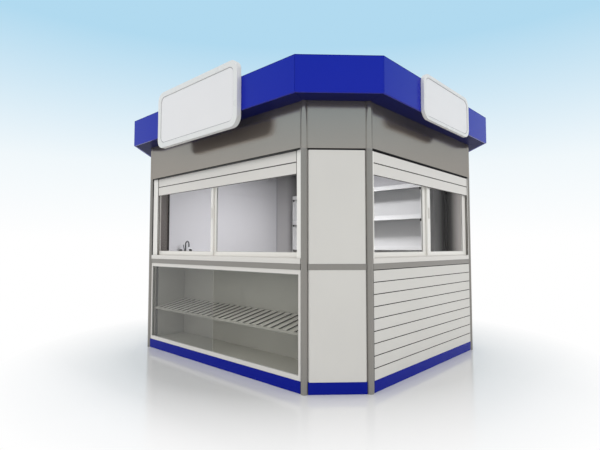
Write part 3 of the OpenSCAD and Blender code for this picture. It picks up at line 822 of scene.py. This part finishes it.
def shelf_end_shades():
    """Dark blocks of painted shade under each shelf, on the front edges of the end boards."""
    bm = bmesh.new()
    for low, high in solids("wall_shelves"):
        for end in (low.x, high.x):
            through = (low.y - SHEET_T, low.y + SHELF_SHADE_T)
            slab(bm, FRONT_WALL, about(end, SHELF_SHADE_W), through, (low.z - SHELF_SHADE_H, low.z))
    as_piece(bm, "shelf_end_shades", "shadow_rail", SHADE_DARK)


def showcase_joint():
    """The clear joint between the two showcase panes."""
    bm = bmesh.new()
    low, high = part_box("showcase_glass")
    heights = (low.z + CASE_BITE, high.z - CASE_BITE)
    slab(bm, FRONT_WALL, about(0, JOINT_W), (high.y, high.y + SHEET_T), heights)
    as_piece(bm, "showcase_joint", "frame_white", PALE_RUBBER)


def sign_gasket(node, axis, front):
    """A grey ring of painted shade between a sign's rim and its face."""
    bm = welded(node)
    bm.normal_update()
    keep_faces(bm, in_recess(axis, front))
    edging = bmesh.ops.inset_region(bm, faces=bm.faces[:], thickness=RIM_SHADE_W, use_boundary=True)["faces"]
    keep_faces(bm, lambda face: face in edging)
    lift = Vector((0, 0, 0))
    lift[axis] = math.copysign(RIM_SHADE_T, front)
    thickened(bm, lift)
    as_piece(bm, node + "_gasket", "shadow_rail", SIGN_RIM_SHADE)


def corner_beads():
    """Round beads that close the room's inner corners: small and grey at the rear ends of the side walls,
    and elsewhere dark with painted shade.
    """
    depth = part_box("left_panels")[1].x - min(axis.x for axis in POST_AXES)
    heights = (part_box("floor_deck")[1].z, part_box("ceiling_panel")[0].z)
    dark, small = bmesh.new(), bmesh.new()
    for axis in POST_AXES:
        beside = abs(axis.x) > abs(axis.y)
        turn = HALF_CORNER if beside else math.pi / 2 - HALF_CORNER
        outwards = Vector((math.copysign(math.cos(turn), axis.x), math.copysign(math.sin(turn), axis.y)))
        at = axis - outwards * (depth / math.cos(HALF_CORNER))
        if beside and axis.y > 0:
            add_upright(small, at, heights, SMALL_BEAD_R)
        else:
            add_upright(dark, at, heights, MIDDLE_SHADE_BEAD_R if beside else LARGE_SHADE_BEAD_R)
    as_piece(dark, "shade_corner_beads", "shadow_rail", SHADE_DARK)
    as_piece(small, "small_corner_beads", "panel_white", BEAD)


def bays():
    """Each bay of the wall: its two post axes, its direction and the way out, in plan."""
    round_order = sorted(POST_AXES, key=lambda axis: math.atan2(axis.y, axis.x))
    for start, end in zip(round_order, round_order[1:] + round_order[:1]):
        along = (end - start).normalized()
        yield start, end, along, Vector((along.y, -along.x))


def reach_out(node):
    """How far the outer faces of a node lie outside the line from post axis to post axis."""
    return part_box(node)[1].x - max(axis.x for axis in POST_AXES)


def head_shade_strips():
    """Dark strips of painted shade along the lower edge of the four straight walls' head panels."""
    bm = bmesh.new()
    out = reach_out("head_panels")
    for start, end, along, outwards in bays():
        if min(abs(along.x), abs(along.y)) > WELD:
            continue
        middle = (start + end) / 2 + outwards * (out + SHEET_T / 2)
        place = Matrix.Translation((middle.x, middle.y, HEAD_FOOT + HEAD_SHADE_H / 2))
        turn = Matrix.Rotation(math.atan2(along.y, along.x), 4, "Z")
        size = Vector(((end - start).length - 2 * POST_R, SHEET_T, HEAD_SHADE_H))
        bmesh.ops.create_cube(bm, size=1.0, matrix=place @ turn @ Matrix.Diagonal(size.to_4d()))
    as_piece(bm, "head_shade_strips", "shadow_rail", SHADE_DARK)


def head_sealant():
    """Sealant in the wedges between the ends of the head panels and the round posts."""
    bm = bmesh.new()
    heights = (HEAD_FOOT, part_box("head_panels")[1].z)
    out = reach_out("head_panels")
    reach = math.sqrt(POST_R**2 - out**2)
    middle = (POST_R + reach) / 2
    radius = (POST_R - reach) / 2 + SEALANT_LAP
    for start, end, along, outwards in bays():
        for at in (start + along * middle, end - along * middle):
            add_upright(bm, at + outwards * (out - radius / 2), heights, radius, SEALANT_STEPS)
    as_piece(bm, "head_sealant", "head_grey", FINISH["head_grey"])


def plinth_screws():
    """Painted screw heads near both ends of each plinth board."""
    bm = bmesh.new()
    low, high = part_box("plinth_boards")
    height = (low.z + high.z) / 2
    out = reach_out("plinth_boards")
    for start, end, along, outwards in bays():
        for at in (start + along * SCREW_INSET, end - along * SCREW_INSET):
            head = at + outwards * out
            tip = head + outwards * SCREW_T
            add_rod(bm, (head.x, head.y, height), (tip.x, tip.y, height), SCREW_R, SCREW_STEPS)
    as_piece(bm, "plinth_screws", "blue_gloss", PLINTH)


def fascia_cap():
    """A thin cap on the top edge of the fascia boards."""
    bm = welded("fascia_boards")
    bm.normal_update()
    keep_faces(bm, faces_up)
    thickened(bm, (0, 0, CAP_T))
    bevelled(bm, SHEET_T)
    as_piece(bm, "fascia_cap", "blue_gloss", PLINTH)


def roof_seams():
    """Lapped seams of the roofing felt, from edge to edge of the roof."""
    bm = bmesh.new()
    deck = welded("roof_deck")
    low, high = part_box("roof_deck")
    edges = [(edge.verts[0].co, edge.verts[1].co) for edge in deck.edges]
    rim = [(start, end) for start, end in edges if min(start.z, end.z) > high.z - WELD]
    count = int((high.x - low.x) / SEAM_STEP)
    for index in range(count):
        sides = about((index - (count - 1) / 2) * SEAM_STEP, SEAM_W)
        fronts, rears = [], []
        for side in sides:
            met = [(start, end) for start, end in rim if (start.x - side) * (end.x - side) < 0]
            crossed = [start.lerp(end, (side - start.x) / (end.x - start.x)).y for start, end in met]
            fronts.append(min(crossed))
            rears.append(max(crossed))
        reach = (max(fronts), min(rears))
        slab(bm, FRONT_WALL, sides, reach, (high.z, high.z + SEAM_T))
    deck.free()
    as_piece(bm, "roof_seams", "roof_sheet", FINISH["roof_sheet"])


def door_fittings():
    """Draught strip in the room, kick plate and threshold outside, and key plates on both faces."""
    low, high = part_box("door_leaf")
    frame_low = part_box("door_frame")[0]
    strip = bmesh.new()
    inside = (high.x - DRAUGHT_DEPTH, high.x + STRIP_PROUD)
    for edge in (low.y - DRAUGHT_W, high.y):
        slab(strip, SIDE_WALL, (edge, edge + DRAUGHT_W), inside, (low.z, high.z))
    slab(strip, SIDE_WALL, (low.y - DRAUGHT_W, high.y + DRAUGHT_W), inside, (high.z, high.z + DRAUGHT_W))
    as_piece(strip, "door_draught_strip", "panel_white", LINING)

    metal = bmesh.new()
    outside = low.x - SHEET_T
    along = (low.y + KICK_EDGE, high.y - KICK_EDGE)
    slab(metal, SIDE_WALL, along, (outside, low.x), (low.z + KICK_EDGE, low.z + KICK_EDGE + KICK_H))
    slab(metal, SIDE_WALL, (low.y, high.y), (frame_low.x, outside), (low.z, low.z + THRESHOLD_H))
    holes = bmesh.new()
    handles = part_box("door_handles")
    key_y = low.y + LOCK_INSET
    key_z = (handles[0].z + handles[1].z) / 2 - LOCK_DROP
    for plane, face in ((low.x, -1), (high.x, 1)):
        start = (plane, key_y, key_z)
        end = (plane + face * KEY_PLATE_T, key_y, key_z)
        add_rod(metal, start, end, KEY_PLATE_R)
        add_rod(holes, start, (end[0] + face * KEYHOLE_PROUD, key_y, key_z), KEYHOLE_R, KEYHOLE_STEPS)
    as_piece(metal, "door_metal", "steel", FINISH["steel"])
    as_piece(holes, "door_keyholes", "shadow_rail", SHADE_DARK)


glazing_seals("front_window_glass", FRONT_WALL, solids("front_window_glass"), SASH_BITE)
glazing_seals("right_window_glass", SIDE_WALL, solids("right_window_glass"), SASH_BITE)
glazing_seals("showcase_glass", FRONT_WALL, [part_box("showcase_glass")], CASE_BITE)
sash_pulls("front_window_sashes", FRONT_WALL, outer=1, outwards=-1, stile=FRONT_STILE_W)
sash_pulls("right_window_sashes", SIDE_WALL, outer=-1, outwards=1, stile=SIDE_STILE_W)
shutter_shade_strips()
seam_shade_strips("front_shutter", FRONT_WALL)
seam_shade_strips("right_shutter", SIDE_WALL)
shelf_end_shades()
showcase_joint()
sign_gasket("front_sign", FRONT_WALL, FRONT_SIGN_AT)
sign_gasket("right_sign", SIDE_WALL, RIGHT_SIGN_AT)
corner_beads()
head_shade_strips()
head_sealant()
plinth_screws()
fascia_cap()
roof_seams()
door_fittings()


# Stage, camera and light


def seen_ray(tree):
    """1 for a ray that shows a surface: straight from the camera, by a mirror or through glass."""
    path = add(tree, "ShaderNodeLightPath")
    mirrored = add(tree, "ShaderNodeMath", operation="MAXIMUM")
    either = add(tree, "ShaderNodeMath", operation="MAXIMUM")
    tree.links.new(path.outputs["Is Camera Ray"], mirrored.inputs[0])
    tree.links.new(path.outputs["Is Glossy Ray"], mirrored.inputs[1])
    tree.links.new(mirrored.outputs[0], either.inputs[0])
    tree.links.new(path.outputs["Is Transmission Ray"], either.inputs[1])
    return either.outputs[0]


def make_floor():
    """A plain pale floor with a soft reflection, which fades to white away from the part."""
    bm = bmesh.new()
    bmesh.ops.create_grid(bm, x_segments=1, y_segments=1, size=FLOOR_SIZE / 2)
    mesh = bpy.data.meshes.new("studio_floor")
    bm.to_mesh(mesh)
    bm.free()
    made, tree, shader = surface("studio_floor", specular_ior_level=FLOOR_SHINE, roughness=FLOOR_ROUGH)
    shader.inputs["Base Color"].default_value = FLOOR_COLOUR + (1,)
    place = add(tree, "ShaderNodeTexCoord")
    reach = add(tree, "ShaderNodeVectorMath", operation="LENGTH")
    fade = add(tree, "ShaderNodeMapRange", {"From Min": FADE_FROM, "From Max": FADE_TO})
    seen = add(tree, "ShaderNodeMath", operation="MULTIPLY")
    white = add(tree, "ShaderNodeEmission", {"Strength": 1.0})
    mix = add(tree, "ShaderNodeMixShader")
    tree.links.new(place.outputs["Object"], reach.inputs[0])
    tree.links.new(reach.outputs["Value"], fade.inputs["Value"])
    tree.links.new(fade.outputs["Result"], seen.inputs[0])
    tree.links.new(seen_ray(tree), seen.inputs[1])
    tree.links.new(seen.outputs[0], mix.inputs[0])
    tree.links.new(shader.outputs[0], mix.inputs[1])
    tree.links.new(white.outputs[0], mix.inputs[2])
    tree.links.new(mix.outputs[0], tree.nodes["Material Output"].inputs["Surface"])
    mesh.materials.append(made)
    floor = bpy.data.objects.new("studio_floor", mesh)
    bpy.context.scene.collection.objects.link(floor)


def make_world():
    """White light from all round; seen directly it is a pale sky that fades to white at the horizon."""
    world = bpy.data.worlds.new("studio")
    bpy.context.scene.world = world
    world.use_nodes = True
    tree = world.node_tree
    light = tree.nodes["Background"]
    light.inputs["Color"].default_value = WHITE + (1,)
    light.inputs["Strength"].default_value = SKY_LIGHT
    seen = add(tree, "ShaderNodeBackground", {"Strength": 1.0})
    place = add(tree, "ShaderNodeTexCoord")
    split = add(tree, "ShaderNodeSeparateXYZ")
    fade = colour_ramp(tree, *SKY_STOPS)
    mix = add(tree, "ShaderNodeMixShader")
    tree.links.new(place.outputs["Generated"], split.inputs[0])
    tree.links.new(split.outputs["Z"], fade.inputs["Fac"])
    tree.links.new(fade.outputs["Color"], seen.inputs["Color"])
    tree.links.new(seen_ray(tree), mix.inputs[0])
    tree.links.new(light.outputs[0], mix.inputs[1])
    tree.links.new(seen.outputs[0], mix.inputs[2])
    tree.links.new(mix.outputs[0], tree.nodes["World Output"].inputs["Surface"])


def make_lamp(name, watts, size, at, aim, colour=WHITE):
    """A soft rectangular lamp that looks at a point."""
    lamp = bpy.data.lights.new(name, "AREA")
    lamp.shape = "RECTANGLE"
    lamp.size, lamp.size_y = size
    lamp.energy = watts
    lamp.color = colour
    holder = bpy.data.objects.new(name, lamp)
    holder.location = at
    holder.rotation_euler = (Vector(aim) - Vector(at)).to_track_quat("-Z", "Y").to_euler()
    holder.visible_glossy = False
    bpy.context.scene.collection.objects.link(holder)


def make_camera():
    """The photograph's viewpoint."""
    lens = bpy.data.cameras.new("photo_view")
    lens.sensor_fit = "HORIZONTAL"
    lens.sensor_width = SENSOR_W
    lens.lens = FOCAL_PX * SENSOR_W / PHOTO_W
    holder = bpy.data.objects.new("photo_view", lens)
    holder.location = CAMERA_AT
    holder.rotation_euler = (math.radians(90 + CAMERA_PITCH), 0, math.radians(CAMERA_YAW))
    bpy.context.scene.collection.objects.link(holder)
    bpy.context.scene.camera = holder


make_floor()
make_world()
for key, at in KEYS_AT.items():
    make_lamp(key, KEY_WATTS, KEY_SIZE, at, KEY_AIM)
room_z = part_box("ceiling_panel")[0].z - ROOM_LAMP_GAP
make_lamp("room", ROOM_WATTS, ROOM_LAMP_SIZE, ROOM_LAMP_AT + (room_z,), ROOM_LAMP_AT + (0,), ROOM_TINT)
make_camera()
bpy.context.scene.view_settings.view_transform = "Standard"
